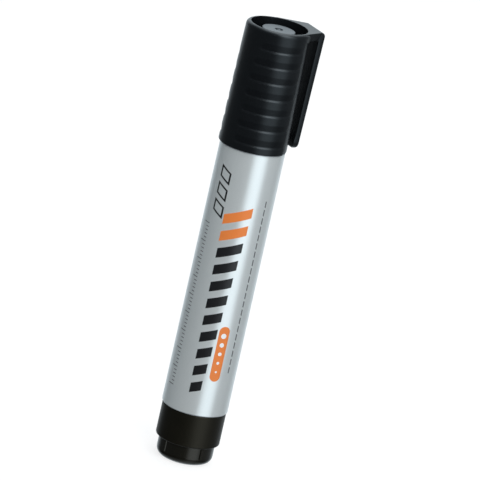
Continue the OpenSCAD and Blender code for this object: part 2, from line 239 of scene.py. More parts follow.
class FinishColours(bpy.types.PropertyGroup):
    """Colours of the materials."""

    cap_black: colour("Cap", "Black of the cap and clip", (0.0042, 0.0048, 0.0058))
    liner_black: colour("Liner", "Black of the liner", (0.050, 0.058, 0.066))
    plug_black: colour("End plug", "Black of the end plug", (0.0040, 0.0036, 0.0022))
    holder_black: colour("Nib holder", "Black of the nib holder", (0.012, 0.012, 0.013))
    silver: colour("Barrel", "Silver of the barrel's film", (0.765, 0.80, 0.80))
    bare_silver: colour("Bare barrel", "Silver of the bare barrel and neck", (0.50, 0.53, 0.56))
    cool_sheen: colour("Cool sheen", "Tint of the gloss on cap, liner and nib holder", (0.88, 0.96, 1.0))
    warm_sheen: colour("Warm sheen", "Tint of the gloss on the end plug", (1.0, 0.90, 0.72))
    nib_ink: colour("Nib", "Ink-soaked felt of the nib", (0.014, 0.013, 0.020))
    core_ink: colour("Ink core", "Ink-soaked fibre of the core", (0.030, 0.030, 0.042))
    film: colour("Core film", "Film round the ink core", (0.75, 0.78, 0.80))
    print_black: colour("Print", "Black of the print", (0.008, 0.008, 0.009))
    print_orange: colour("Accent", "Orange of the print", (0.78, 0.215, 0.045))
    print_grey: colour("Fine lines", "Grey of the fine print", (0.12, 0.125, 0.135))
    print_white: colour("Dots", "White of the dots in the print", (0.86, 0.87, 0.88))


class StageSettings(bpy.types.PropertyGroup):
    """Camera, lamps and sky."""

    azimuth: angle("Azimuth", "Camera's turn round the marker", -32)
    elevation: angle("Elevation", "Camera's height above the horizon", 16.3)
    roll: angle("Roll", "Camera's roll, which leans the marker to the right", 12.65)
    distance: length("Distance", "Distance of the camera from the marker", 1450)
    lens: amount("Lens", "Focal length on a 36 mm sensor, in millimetres", 417.3)
    aim_z: length("Aim height", "Height on the axis that the view is set from", 60)
    aim_right: length("Aim right", "Shift of the view's centre to the right", 2.36)
    aim_up: length("Aim up", "Shift of the view's centre upward", 0.94)
    key_power: amount("Key", "Power of the key panel, in watts", 4.9)
    key_turn: angle("Key turn", "Turn of the key panel to the right of the camera", 38)
    key_rise: angle("Key rise", "Height of the key panel above the horizon", 48)
    fill_power: amount("Fill", "Power of the fill panel, in watts", 6.5)
    fill_turn: angle("Fill turn", "Turn of the fill panel to the right of the camera", 5)
    fill_rise: angle("Fill rise", "Height of the fill panel above the horizon", 25)
    top_power: amount("Top", "Power of the overhead panel, in watts", 4.0)
    ambient: amount("Ambient", "Strength of the even light from all round", 0.48)
    sky: colour("Sky", "Cool tint of all light that isn't from a panel", (0.84, 0.94, 1.0))


class MarkerSettings(bpy.types.PropertyGroup):
    """All settings of the marker, piece by piece."""

    barrel: group(BarrelSizes)
    plug: group(PlugSizes)
    nib: group(NibSizes)
    cap: group(CapSizes)
    liner: group(LinerSizes)
    clip: group(ClipSizes)
    colours: group(FinishColours)
    stage: group(StageSettings)


# Surfaces

def rounded(corners, edge=0, closed=False, steps=6):
    """Outline through corners (radius, height), or (radius, height, rounding) where that isn't the edge's.

    An arc that is tangent to both sides takes the place of each corner: its centre lies on the corner's
    bisector at rounding / sin(half angle), and it is run through by a spherical mean of its two end radii.
    A short straight stretch is kept beside each arc, so that smooth shading turns only along the arc.
    """
    stretch, side_stretch, least_sweep = 0.3, 0.2, 1e-6
    given = np.array([(*corner, edge)[:3] for corner in corners], float)
    point, rounding = given[:, :2], given[:, 2:]
    back = np.roll(point, 1, axis=0) - point
    ahead = np.roll(point, -1, axis=0) - point
    if not closed:
        back[0] = -ahead[0]
        ahead[-1] = -back[-1]
    back_l = np.linalg.norm(back, axis=1, keepdims=True)
    ahead_l = np.linalg.norm(ahead, axis=1, keepdims=True)
    back, ahead = back / back_l, ahead / ahead_l
    half = np.arccos(np.clip((back * ahead).sum(1, keepdims=True), -1, 1)) / 2
    reach = rounding / np.maximum(np.tan(half), TINY)
    middle = back + ahead
    middle = middle / np.maximum(np.linalg.norm(middle, axis=1, keepdims=True), TINY)
    centre = point + middle * rounding / np.maximum(np.sin(half), TINY)
    first, last = point + back * reach - centre, point + ahead * reach - centre
    sweep = np.maximum(math.pi - 2 * half, least_sweep)[:, None]
    t = np.linspace(0, 1, steps + 1)[None, :, None]
    arc = (np.sin((1 - t) * sweep) * first[:, None] + np.sin(t * sweep) * last[:, None]) / np.sin(sweep)
    arc = centre[:, None] + arc

    def beside(way, side_l):
        """Straight stretch: a share of the rounding, but no more than a share of the side that is left."""
        free = np.maximum(side_l - reach, 0)
        return (way * np.minimum(stretch * rounding, side_stretch * free))[:, None]

    lead, trail = arc[:, :1] + beside(back, back_l), arc[:, -1:] + beside(ahead, ahead_l)
    line = np.concatenate([lead, arc, trail], axis=1).reshape(-1, 2)
    step = np.linalg.norm(np.diff(line, axis=0), axis=1)
    return line[np.concatenate([[True], step > SAME])]


def full_turn(segments=SEGMENTS):
    """Angles of an even full turn."""
    return np.linspace(0, 2 * math.pi, segments, endpoint=False)


def revolved(outline, turn=full_turn()):
    """Grid of a surface of revolution: the outline's points one way, their turn about Z the other."""
    r, z = outline[:, :1], outline[:, 1:]
    return np.stack([r * np.cos(turn), r * np.sin(turn), z + 0 * turn], axis=-1)


def polar(grid):
    """Radius, turn about Z and height of a grid's points."""
    x, y, z = np.moveaxis(grid, -1, 0)
    return np.hypot(x, y), np.arctan2(y, x), z


def at_radius(grid, r, new_r):
    """The grid with its points moved straight in or out about Z, from radius r to new_r."""
    factor = new_r / np.maximum(r, TINY)
    return grid * np.stack([factor, factor, np.ones_like(r)], axis=-1)


def smooth(t):
    """Smooth step: 3 t squared - 2 t cubed, with t kept from 0 to 1."""
    t = np.clip(t, 0, 1)
    return t * t * (3 - 2 * t)


def add_object(name, data):
    """A new object of the scene at the origin, unturned and unscaled."""
    made = bpy.data.objects.new(name, data)
    bpy.context.scene.collection.objects.link(made)
    return made


def skin(name, grids, closed=True):
    """Mesh object over grids of points, each closed round its second direction, and its first if closed.

    A cell of a grid is a quad. Rows that fall together at a pole or an end are merged, and a grid's faces
    are turned round where the volume that they enclose comes out negative.
    """
    corners, faces, start = [], [], 0
    for grid in grids:
        rows, columns = grid.shape[:2]
        index = start + np.arange(rows * columns).reshape(rows, columns)
        here = index if closed else index[:-1]
        above = np.roll(index, -1, axis=0) if closed else index[1:]
        cells = np.stack(
            [here, np.roll(here, -1, axis=1), np.roll(above, -1, axis=1), above], axis=-1).reshape(-1, 4)
        flat = grid.reshape(-1, 3)
        a, b, c, d = (flat[cells[:, k] - start] for k in range(4))
        volume = (a * np.cross(b, c)).sum() + (a * np.cross(c, d)).sum()
        corners.append(flat)
        faces.append(cells if volume > 0 else cells[:, ::-1])
        start += rows * columns
    mesh = bpy.data.meshes.new(name)
    mesh.from_pydata(np.concatenate(corners), [], np.concatenate(faces))
    merge_rows(mesh)
    mesh.polygons.foreach_set("use_smooth", np.ones(len(mesh.polygons), bool))
    mesh.set_sharp_from_angle(angle=SHARP)
    mesh.update()
    return add_object(name, mesh)


def merge_rows(mesh):
    """Merges points that fall together, which closes poles and ends."""
    work = bmesh.new()
    work.from_mesh(mesh)
    bmesh.ops.remove_doubles(work, verts=work.verts, dist=SAME)
    work.to_mesh(mesh)
    work.free()


def dress(piece, material, slot, body, *nodes):
    """Gives a piece its material, sets it on its body and lets it stand for CAD nodes; its slot is not used.
    """
    piece.data.materials.append(material)
    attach(piece, body)
    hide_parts(*nodes)


# Shader maths

def both_ways(operation):
    """Methods of a Math operator: with the wire on its left, and on its right."""
    def left(self, other):
        return self.maths(operation, other)

    def right(self, other):
        return self.node("ShaderNodeMath", {"operation": operation}, {0: other, 1: self})

    return left, right


class Wire:
    """A socket in an expression: sums, products and other maths on it add Math nodes to its tree."""

    def __init__(self, tree, socket=None):
        self.tree = tree
        self.socket = socket

    def node(self, kind, settings=None, inputs=None, output=0):
        """Adds a node: first its settings, then values or links for its sockets, by name or number."""
        made = self.tree.nodes.new(kind)
        for name, value in (settings or {}).items():
            setattr(made, name, value)
        for key, value in (inputs or {}).items():
            if isinstance(value, Wire):
                self.tree.links.new(value.socket, made.inputs[key])
            else:
                made.inputs[key].default_value = value
        return Wire(self.tree, made.outputs[output]) if made.outputs else None

    def maths(self, operation, *others, clamp=False):
        """A Math node on this value and up to two others."""
        values = dict(enumerate((self, *others)))
        return self.node("ShaderNodeMath", {"operation": operation, "use_clamp": clamp}, values)

    __add__, __radd__ = both_ways("ADD")
    __sub__, __rsub__ = both_ways("SUBTRACT")
    __mul__, __rmul__ = both_ways("MULTIPLY")
    __truediv__, __rtruediv__ = both_ways("DIVIDE")
    __or__, __ror__ = both_ways("MAXIMUM")

    def __abs__(self):
        return self.maths("ABSOLUTE")

    def clamped(self):
        """The value kept from 0 to 1."""
        return self.maths("ADD", 0.0, clamp=True)

    def ramp(self, start, end):
        """0 up to start, 1 from end on, and a straight line between them."""
        return ((self - start) / (end - start)).clamped()

    def vector(self, operation, *others, output=0):
        """A Vector Math node on this vector and up to two others."""
        values = dict(enumerate((self, *others)))
        return self.node("ShaderNodeVectorMath", {"operation": operation}, values, output)

    def mixed(self, zero, one):
        """Colour zero where the value is 0, colour one where it is 1."""
        return self.node("ShaderNodeMix", {"data_type": "RGBA"}, {0: self, 6: zero, 7: one}, output=2)

    def outputs(self, *names):
        """Further outputs of the node that this socket belongs to."""
        return [Wire(self.tree, self.socket.node.outputs[name]) for name in names]

    def parts(self):
        """X, Y and Z of a vector."""
        return self.node("ShaderNodeSeparateXYZ", None, {"Vector": self}).outputs("X", "Y", "Z")

    def place(self):
        """Object coordinates of the shaded point."""
        return self.node("ShaderNodeTexCoord", output="Object")

    def mapped(self, **change):
        """Coordinates that are turned or stretched."""
        return self.node("ShaderNodeMapping", None, {"Vector": self, **change})

    def noise(self, scale, detail=2.0, roughness=0.5):
        """Fractal noise from about 0 to 1 over these coordinates, at a scale per metre."""
        return self.node("ShaderNodeTexNoise", None, {
            "Vector": self, "Scale": scale, "Detail": detail, "Roughness": roughness})

    def bump(self, depth):
        """Normal bent by this height from 0 to 1, which stands for a depth in metres."""
        return self.node("ShaderNodeBump", None, {"Strength": 1.0, "Distance": depth, "Height": self})


def rgba(base, gain=1.0):
    """A colour property as a socket value, made lighter or darker by a gain."""
    return (*(min(1.0, channel * gain) for channel in base), 1.0)


def start_tree(owner):
    """The emptied tree of a material or world, as a wire without a socket."""
    owner.use_nodes = True
    owner.node_tree.nodes.clear()
    return Wire(owner.node_tree)


def start_material(name):
    """A new material and its empty tree."""
    material = bpy.data.materials.new(name)
    return material, start_tree(material)


def principled(wire, **sockets):
    """Closes a material with one Principled shader, its sockets named with _ for spaces."""
    shader = wire.node("ShaderNodeBsdfPrincipled", None, {
        name.replace("_", " "): value for name, value in sockets.items()})
    wire.node("ShaderNodeOutputMaterial", None, {"Surface": shader})


def moulded_plastic(name, base, roughness, specular, tint, polished_z=None):
    """Satin moulded plastic: faint clouding of its colour, uneven gloss and a fine sparked grain.

    Below a given height it is polished, as where a cap is posted on it: smoother, with a thin gloss coat.
    """
    material, wire = start_material(name)
    place = wire.place()
    cloud, grain = place.noise(260, 3.0), place.noise(5200, 2.0, 0.6)
    gloss = (roughness - 0.03) + 0.04 * cloud + 0.02 * grain
    coat = 0.0
    if polished_z is not None:
        height = place.parts()[2]
        polish = height.ramp(polished_z, polished_z - 0.1 * MM)
        gloss, coat = gloss - 0.12 * polish, 0.35 * polish
    principled(wire, Base_Color=cloud.mixed(rgba(base, 0.75), rgba(base, 1.3)), Roughness=gloss,
               Specular_IOR_Level=specular, Specular_Tint=rgba(tint), Coat_Weight=coat, Coat_Roughness=0.12,
               Normal=grain.bump(0.012 * MM))
    return material


def ink_fibre(name, base, stretch):
    """Ink-soaked fibre: strands along the axis, darker between them, with a dull nap."""
    material, wire = start_material(name)
    strand = wire.place().mapped(Scale=(1, 1, stretch)).noise(4200, 3.0, 0.6)
    principled(wire, Base_Color=strand.mixed(rgba(base, 0.45), rgba(base, 1.9)),
               Roughness=0.74 + 0.2 * strand, Specular_IOR_Level=0.3, Normal=strand.bump(0.05 * MM))
    return material


def silver_plastic(name, base):
    """Silver-pigmented plastic: fine flakes that glint, under a satin skin."""
    material, wire = start_material(name)
    place = wire.place()
    flake, cloud = place.noise(9000, 1.0), place.noise(320)
    principled(wire, Base_Color=flake.mixed(rgba(base, 0.86), rgba(base, 1.14)), Metallic=0.45,
               Roughness=0.34 + 0.08 * cloud, Normal=flake.bump(0.006 * MM))
    return material


def clear_film(name, base):
    """Thin clear film with faint lengthwise draw lines."""
    material, wire = start_material(name)
    line = wire.place().mapped(Scale=(1, 1, 0.03)).noise(1500)
    principled(wire, Base_Color=line.mixed(rgba(base, 0.9), rgba(base, 1.05)), Roughness=0.16 + 0.1 * line,
               Transmission_Weight=0.6, IOR=1.47)
    return material


# Print on the barrel

# Around is the arc length from the printed front and along the height above the film's rear edge, both in
# millimetres. A motif starts as the distance from its edge, which is below 0 inside.


def inked(distance, blur=0.06):
    """Cover of a motif: 1 inside, 0 outside, over a narrow blurred edge."""
    return (0.5 - distance / blur).clamped()


def within(number, half):
    """1 where a cell's number, or a place, lies within half of 0 on either side, else 0."""
    return inked(abs(number) - half)


def box_edge(x, y, half_x, half_y):
    """Distance from a rectangle's edge: the larger of the two overshoots."""
    return (abs(x) - half_x) | (abs(y) - half_y)


def pill_edge(x, y, half_y, r):
    """Distance from a pill's edge: the length from its middle line, less its radius."""
    over = (abs(y) - half_y) | 0.0
    return (x * x + over * over).maths("SQRT") - r


def repeated(value, pitch):
    """Position in the nearest cell of a row, from its middle, and the cell's number."""
    cell = (value / pitch).maths("ROUND")
    return value - cell * pitch, cell


def slanted_bars(around, along):
    """Rising stack of slanted bars, each wider than the one below, and a mask of the topmost ones."""
    slant, first, pitch, half_h = 0.42, 8.0, 4.7, 1.35
    row, number = repeated(along - slant * around - first, pitch)
    x, half_w = around + 0.8 - 0.1 * number, 1.5 + 0.22 * number
    bars = inked(box_edge(x, row, half_w, half_h))
    return bars * within(number - 5.0, 5.5), inked(8.5 - number)


def dotted_pill(around, along):
    """Upright pill, and the row of dots of rising size in it."""
    half_l, r, pitch, dot_r, growth = 6.2, 1.45, 2.5, 0.5, 0.11
    x, y = around - 3.6, along - 17.5
    row, number = repeated(y, pitch)
    dots = inked(pill_edge(x, row, 0.0, dot_r + growth * number))
    return inked(pill_edge(x, y, half_l, r)), dots * within(number, 2.5)


def open_frames(around, along):
    """Three open frames, which slant the other way."""
    slant, pitch, half_w, half_h, half_line = 0.5, 4.6, 1.5, 1.35, 0.26
    x, y = around + 5.7, along - 60.4
    row, number = repeated(y + slant * x, pitch)
    return within(box_edge(x, row, half_w, half_h), half_line) * within(number, 1.5)


def tick_scale(around, along):
    """Scale of fine ticks a millimetre apart, longer at each fifth."""
    row, number = repeated(along - 6.0, 1.0)
    fifth, _ = repeated(number, 5.0)
    half_l, half_line = 0.55 + 0.5 * within(fifth, 0.5), 0.11
    ticks = inked(box_edge(around + 7.6 + half_l, row, half_l, half_line))
    return ticks * within(along - 28.5, 22.7)


def broken_line(around, along):
    """Hairline of slanted dashes."""
    slant, pitch, half_line, half_l = 0.7, 2.3, 0.2, 0.85
    row, _ = repeated(along + slant * around, pitch)
    return inked(box_edge(around - 7.6, row, half_line, half_l)) * within(along - 36.0, 24.0)


def printed_film(name, colours, radius, low_z, facing):
    """Metallised film with a plain geometric print: bars, a pill with dots, open frames and fine lines."""
    material, wire = start_material(name)
    place = wire.place()
    x, y, z = place.mapped(Rotation=(0, 0, -facing)).parts()
    around, along = y.maths("ARCTAN2", x) * (radius / MM), (z - low_z) / MM
    bars, top_bars = slanted_bars(around, along)
    pill, dots = dotted_pill(around, along)
    frames = open_frames(around, along)
    lines = tick_scale(around, along) | broken_line(around, along)
    black, orange = rgba(colours.print_black), rgba(colours.print_orange)

    cloud, flake = place.noise(300), place.noise(9500, 1.0)
    tone = flake.mixed(rgba(colours.silver, 0.93), rgba(colours.silver, 1.07))
    tone = lines.mixed(tone, rgba(colours.print_grey))
    tone = frames.mixed(tone, black)
    tone = bars.mixed(tone, top_bars.mixed(black, orange))
    tone = pill.mixed(tone, orange)
    tone = dots.mixed(tone, rgba(colours.print_white))
    ink = 0.7 * lines | frames | bars | pill
    principled(wire, Base_Color=tone, Metallic=0.5 * (1 - ink), Roughness=0.277 + 0.03 * cloud + 0.06 * ink,
               Normal=(ink + 0.15 * flake).bump(0.008 * MM))
    return material


# Operators

class MARKER_OT_barrel(bpy.types.Operator):
    """Build the barrel tube with its neck, and the printed film round it"""

    bl_idname = "marker.barrel"
    bl_label = "Barrel and film"

    def execute(self, context):
        marker = context.scene.marker
        sizes, colours = marker.barrel, marker.colours
        rear_r = barrel_high.y
        front_r = sizes.front_r - (sleeve_high.y - rear_r)
        shoulder_z = barrel_high.z - sizes.neck_l
        bead_z = shoulder_z + sizes.bead_rise
        bore_end_z = shoulder_z - sizes.wall
        neck_bore_r = sizes.neck_r - sizes.neck_wall
        edge, bead = sizes.edge, sizes.bead_h
        tube = rounded([
            (rear_r - sizes.wall, barrel_low.z), (rear_r, barrel_low.z),
            (front_r, shoulder_z), (sizes.neck_r, shoulder_z),
            (sizes.neck_r, bead_z - 2 * bead, bead), (sizes.neck_r + bead, bead_z, bead),
            (sizes.neck_r, bead_z + 2 * bead, bead), (sizes.neck_r, barrel_high.z, 3 * edge),
            (neck_bore_r, barrel_high.z), (neck_bore_r, bore_end_z),
            (front_r - sizes.wall, bore_end_z)], edge, closed=True)
        silver = silver_plastic("silver_moulding", colours.bare_silver)
        dress(skin("barrel_tube", [revolved(tube)]), silver, "barrel_silver", "barrel", "barrel")

        rear_r, front_r, edge = sleeve_high.y, sizes.front_r, sizes.film_t / 3
        film = rounded([
            (rear_r - sizes.film_t, sleeve_low.z), (rear_r, sleeve_low.z),
            (front_r, sleeve_high.z), (front_r - sizes.film_t, sleeve_high.z)], edge, closed=True, steps=3)
        facing = marker.stage.azimuth - math.pi / 2
        printed = printed_film("printed_silver", colours, rear_r, sleeve_low.z, facing)
        dress(skin("printed_film", [revolved(film)]), printed, "sleeve_silver", "barrel", "printed_sleeve")
        return {"FINISHED"}


class MARKER_OT_end_plug(bpy.types.Operator):
    """Build the stepped end plug with the ribs round its foot"""

    bl_idname = "marker.end_plug"
    bl_label = "End plug"

    def execute(self, context):
        sizes, colours = context.scene.marker.plug, context.scene.marker.colours
        foot_r, edge = sizes.foot_r, 0.15 * MM
        collar_z = plug_low.z + sizes.foot_l
        collar_top_z = collar_z + sizes.collar_l
        inside_r = foot_r - sizes.wall
        floor_z = plug_low.z + sizes.wall
        rib_z = plug_low.z + sizes.foot_round
        # Three rows just above the foot's rounding carry the lower end of the ribs
        outline = rounded([
            (0, plug_low.z, 0), (foot_r, plug_low.z, sizes.foot_round),
            *((foot_r, rib_z + k * edge, 0) for k in (1, 2, 3)),
            (foot_r, collar_z - 2 * edge, 0), (foot_r, collar_z, edge / 2),
            (plug_high.y, collar_z, sizes.collar_round), (plug_high.y, collar_top_z, 2 * edge),
            (sizes.spigot_r, collar_top_z), (sizes.spigot_r, plug_high.z, 2 * edge),
            (inside_r, plug_high.z), (inside_r, floor_z, sizes.foot_round), (0, floor_z, 0)], edge)
        grid = revolved(outline, full_turn(2 * SEGMENTS))
        grid = self.ribbed(grid, sizes, rib_z + 1.5 * edge, collar_z + edge / 2)
        material = moulded_plastic(
            "plug_plastic", colours.plug_black, 0.42, 0.32, colours.warm_sheen, polished_z=collar_z)
        dress(skin("end_plug_body", [grid], closed=False), material, "plug_black", "barrel", "end_plug")
        return {"FINISHED"}

    @staticmethod
    def ribbed(grid, sizes, low_z, high_z):
        """The grid pushed out by the rib height where a point of the foot's wall lies across a rib.

        The turn from the nearest rib's middle, times the foot's radius, is below half the rib's width there.
        """
        near = 0.1 * MM
        r, turn, z = polar(grid)
        pitch = 2 * math.pi / sizes.rib_count
        turn = (turn - sizes.rib_turn + pitch / 2) % pitch - pitch / 2
        across = np.abs(turn) * sizes.foot_r < sizes.rib_w / 2
        wall = (z > low_z) & (z < high_z) & (np.abs(r - sizes.foot_r) < near)
        return at_radius(grid, r, np.where(across & wall, sizes.foot_r + sizes.rib_h, r))


class MARKER_OT_nib(bpy.types.Operator):
    """Build the fibre nib and its holder"""

    bl_idname = "marker.nib"
    bl_label = "Nib and holder"

    def execute(self, context):
        sizes, colours = context.scene.marker.nib, context.scene.marker.colours
        shoulder_round, end_round, press_gap = 1.2 * MM, 0.5 * MM, 0.03 * MM
        nib_r, tip_r, slope = nib_high.y, sizes.tip_r, sizes.slope
        centre_z = nib_high.z - tip_r
        apex_z = centre_z + tip_r / math.sin(slope)
        cone_end_z = apex_z - nib_r / math.tan(slope)
        turn = np.linspace(slope, math.pi / 2, 12)
        point = np.stack([tip_r * np.cos(turn), centre_z + tip_r * np.sin(turn)], axis=-1)
        point[-1, 0] = 0
        rod = rounded([
            (0, nib_low.z), (nib_r, nib_low.z, end_round), (nib_r, cone_end_z, shoulder_round), point[0]])
        nib = skin("nib_felt", [revolved(np.concatenate([rod[:-1], point]))], closed=False)
        dress(nib, ink_fibre("nib_fibre", colours.nib_ink, 0.12), "nib_fibre", "barrel", "nib")

        edge = sizes.edge
        tube_z = holder_high.z - sizes.tube_l
        cone_z = tube_z - sizes.cone_l
        flange_z = cone_z - sizes.flange_t
        bore_r = nib_r + press_gap
        outline = rounded([
            (bore_r, holder_low.z), (sizes.shank_r, holder_low.z),
            (sizes.shank_r, flange_z, edge / 3), (holder_high.y, flange_z, edge / 2),
            (holder_high.y, cone_z), (sizes.cone_r, cone_z),
            (sizes.tube_r, tube_z, 3 * edge), (sizes.tube_r, holder_high.z),
            (bore_r, holder_high.z, edge / 2)], edge, closed=True)
        material = moulded_plastic("holder_plastic", colours.holder_black, 0.4, 0.5, colours.cool_sheen)
        holder = skin("nib_holder_body", [revolved(outline)])
        dress(holder, material, "holder_black", "barrel", "nib_holder")
        return {"FINISHED"}


class MARKER_OT_ink_core(bpy.types.Operator):
    """Finish the ink core and the film round it, which keep their CAD shapes"""

    bl_idname = "marker.ink_core"
    bl_label = "Ink core"

    def execute(self, context):
        colours = context.scene.marker.colours
        finishes = {
            "ink_core": ink_fibre("core_fibre", colours.core_ink, 0.05),
            "core_film": clear_film("core_film_clear", colours.film),
        }
        for node, material in finishes.items():
            mesh = frame["nodes"][node].data
            mesh.materials.clear()
            mesh.materials.append(material)
        return {"FINISHED"}


class MARKER_OT_cap_shell(bpy.types.Operator):
    """Build the grooved cap shell, its open well, and the hub and webs that carry the liner"""

    bl_idname = "marker.cap_shell"
    bl_label = "Cap shell"

    def execute(self, context):
        marker = context.scene.marker
        sizes, colours = marker.cap, marker.colours
        hub_z = cap_high.z - sizes.well_depth - sizes.hub_l
        grid = self.shell(sizes, hub_z, cap_high.z - marker.clip.bridge_t)
        material = moulded_plastic("cap_plastic", colours.cap_black, 0.3, 0.32, colours.cool_sheen)
        dress(skin("cap_ringed_shell", [grid]), material, "cap_black", "cap", "cap_shell")

        edge, hub_top_z = 0.15 * MM, hub_z + sizes.hub_l
        ring = rounded([
            (sizes.hub_bore_r, hub_z), (sizes.hub_r, hub_z),
            (sizes.hub_r, hub_top_z), (sizes.hub_bore_r, hub_top_z)], edge, closed=True)
        hub = skin("cap_hub_and_webs", [revolved(ring, full_turn(SEGMENTS // 2))])
        dress(hub, material, "cap_black", "cap")
        webs = [self.web(sizes, hub_z, k) for k in range(sizes.web_count)]
        dress(skin("cap_webs", webs, closed=False), material, "cap_black", "cap")
        return {"FINISHED"}

    def shell(self, sizes, hub_z, under_z):
        """Grid of the shell: its outline turned about Z, then drawn in along its grooves and relief.

        Rows and columns lie close together where the grooves and the relief have their edges.
        """
        step_half, step_edge = 0.4 * MM, 0.1 * MM
        first_z = cap_high.z - sizes.head_l
        relief_end = under_z - sizes.relief_blend * np.linspace(0, 1.2, 7)
        rows = np.unique(np.append(self.groove_rows(sizes, first_z), relief_end))
        crest_r = np.interp(
            rows, [cap_low.z + sizes.mouth_round, first_z, cap_high.z - sizes.rim_round],
            [cap_high.y, sizes.head_r, sizes.rim_r])
        outline = rounded([
            (cap_high.y, cap_low.z, sizes.mouth_round), *zip(crest_r, rows),
            (sizes.rim_r, cap_high.z, sizes.rim_round), (sizes.well_r, cap_high.z, sizes.rim_edge),
            (sizes.well_r, hub_z + step_half, step_edge), (sizes.bore_r, hub_z - step_half, step_edge),
            (sizes.bore_r, cap_low.z, sizes.mouth_round)], closed=True, steps=5)
        groove_ends = np.radians(np.linspace(16, 36, 48))
        relief_side = sizes.relief_turn - np.linspace(-0.2, 1.2, 15) * sizes.relief_blend / cap_high.y
        turn = np.sort(np.concatenate([
            full_turn(), math.pi + groove_ends, math.pi - groove_ends,
            relief_side, 2 * math.pi - relief_side]))
        return self.grooved(revolved(outline, turn), sizes, first_z, under_z)

    @staticmethod
    def groove_rows(sizes, first_z):
        """Heights of the grid's rows up the outside, close together round each step."""
        step = sizes.ring_step_l
        rise = sizes.ring_pitch - sizes.ring_face
        local = np.concatenate([
            np.linspace(-0.2, 1.2, 13) * step, np.linspace(1.4 * step, rise, 9),
            np.linspace(rise + step / 8, sizes.ring_pitch - 0.3 * step, 5)])
        number = np.arange(sizes.ring_count)[::-1, None]
        return (first_z - step - number * sizes.ring_pitch + local).ravel()

    @staticmethod
    def grooved(grid, sizes, first_z, under_z):
        """The grid drawn in along the grooves and in the relief under the clip.

        Over a ring's step the depth rises along a slight S, and from there it falls in a straight line to
        nothing at the next ring's lower end. A groove ends in a half circle beside the plain band: with u
        the height in the groove, from -1 to 1, its end is set back by (1 - sqrt(1 - u squared)) times half
        the groove's height. The band widens towards the head, by an angle that falls off exponentially
        below the first groove. The relief is a smooth step in the turn from the clip and in the height
        below the bridge, and the deeper of both depths holds.
        """
        inner_zone, least_wall = 0.3 * MM, 0.31 * MM
        r, turn, z = polar(grid)
        off_clip = np.abs(turn)
        low_z = first_z - sizes.ring_step_l
        last_z = low_z - (sizes.ring_count - 1) * sizes.ring_pitch
        rise = sizes.ring_pitch - sizes.ring_face
        local = (z - low_z) % sizes.ring_pitch
        up = np.clip(local / sizes.ring_step_l, 0, 1)
        fall = np.clip((rise - local) / (rise - sizes.ring_step_l), 0, 1)
        groove = sizes.ring_step * np.minimum((up + smooth(up)) / 2, fall)

        u = np.clip(2 * local / rise - 1, -1, 1)
        set_back = (1 - np.sqrt(1 - u * u)) * rise / 2
        flare = np.exp(np.minimum(z - low_z - rise / 2, 0) / sizes.band_flare_l)
        off_band = math.pi - off_clip - sizes.band_turn / 2 - sizes.band_flare * flare
        groove = groove * smooth((off_band * r - set_back) / sizes.band_blend)
        groove = np.where((z > last_z) & (z < low_z + rise), groove, 0)

        inside = np.minimum((sizes.relief_turn - off_clip) * r, under_z - z) / sizes.relief_blend
        depth = np.maximum(groove, sizes.relief_depth * smooth(inside))
        wall = r > sizes.bore_r + inner_zone
        return at_radius(grid, r, np.where(wall, np.maximum(r - depth, sizes.bore_r + least_wall), r))

    @staticmethod
    def web(sizes, hub_z, number):
        """Web from the hub to the wall: a rounded rectangle in Y and Z carried along X, then turned.

        Its end sections shrink to their middle, which closes the ends.
        """
        half_t, half_l, edge, overlap = sizes.web_t / 2, sizes.hub_l / 2, 0.2 * MM, 0.3 * MM
        section = rounded(
            [(-half_t, -half_l), (half_t, -half_l), (half_t, half_l), (-half_t, half_l)],
            edge, closed=True, steps=3)
        low_x, high_x = sizes.hub_r - overlap, sizes.well_r + overlap
        x = np.array([low_x, low_x, high_x, high_x])[:, None]
        size = np.array([0, 1, 1, 0])[:, None]
        y, z = size * section[:, 0], size * section[:, 1] + hub_z + half_l
        turn = 2 * math.pi * number / sizes.web_count
        c, s = math.cos(turn), math.sin(turn)
        return np.stack([x * c - y * s, x * s + y * c, z + 0 * x], axis=-1)


class MARKER_OT_cap_liner(bpy.types.Operator):
    """Build the sealing liner, whose top shows in the cap's well"""

    bl_idname = "marker.cap_liner"
    bl_label = "Cap liner"

    def execute(self, context):
        sizes, colours = context.scene.marker.liner, context.scene.marker.colours
        edge, top_z = sizes.edge, liner_high.z
        inside_z = top_z - sizes.top_t
        gate_r, gate_z = sizes.gate_r, top_z - sizes.gate_depth
        flange_low_z = sizes.flange_z - sizes.flange_t
        outline = rounded([
            (0, inside_z, 0), (sizes.bore_r, inside_z), (sizes.bore_r, liner_low.z), (sizes.r, liner_low.z),
            (sizes.r, flange_low_z, edge / 3), (liner_high.y, flange_low_z),
            (liner_high.y, sizes.flange_z), (sizes.r, sizes.flange_z, edge / 3),
            (sizes.r, top_z), (gate_r, top_z, edge / 6), (0.95 * gate_r, gate_z, edge / 4),
            (0.45 * gate_r, gate_z, edge / 4), (0.35 * gate_r, top_z - edge / 8, edge / 4),
            (0, top_z - edge / 4, 0)], edge)
        material = moulded_plastic("liner_plastic", colours.liner_black, 0.36, 0.6, colours.cool_sheen)
        liner = skin("cap_liner_sleeve", [revolved(outline)], closed=False)
        dress(liner, material, "liner_black", "liner", "cap_liner")
        return {"FINISHED"}


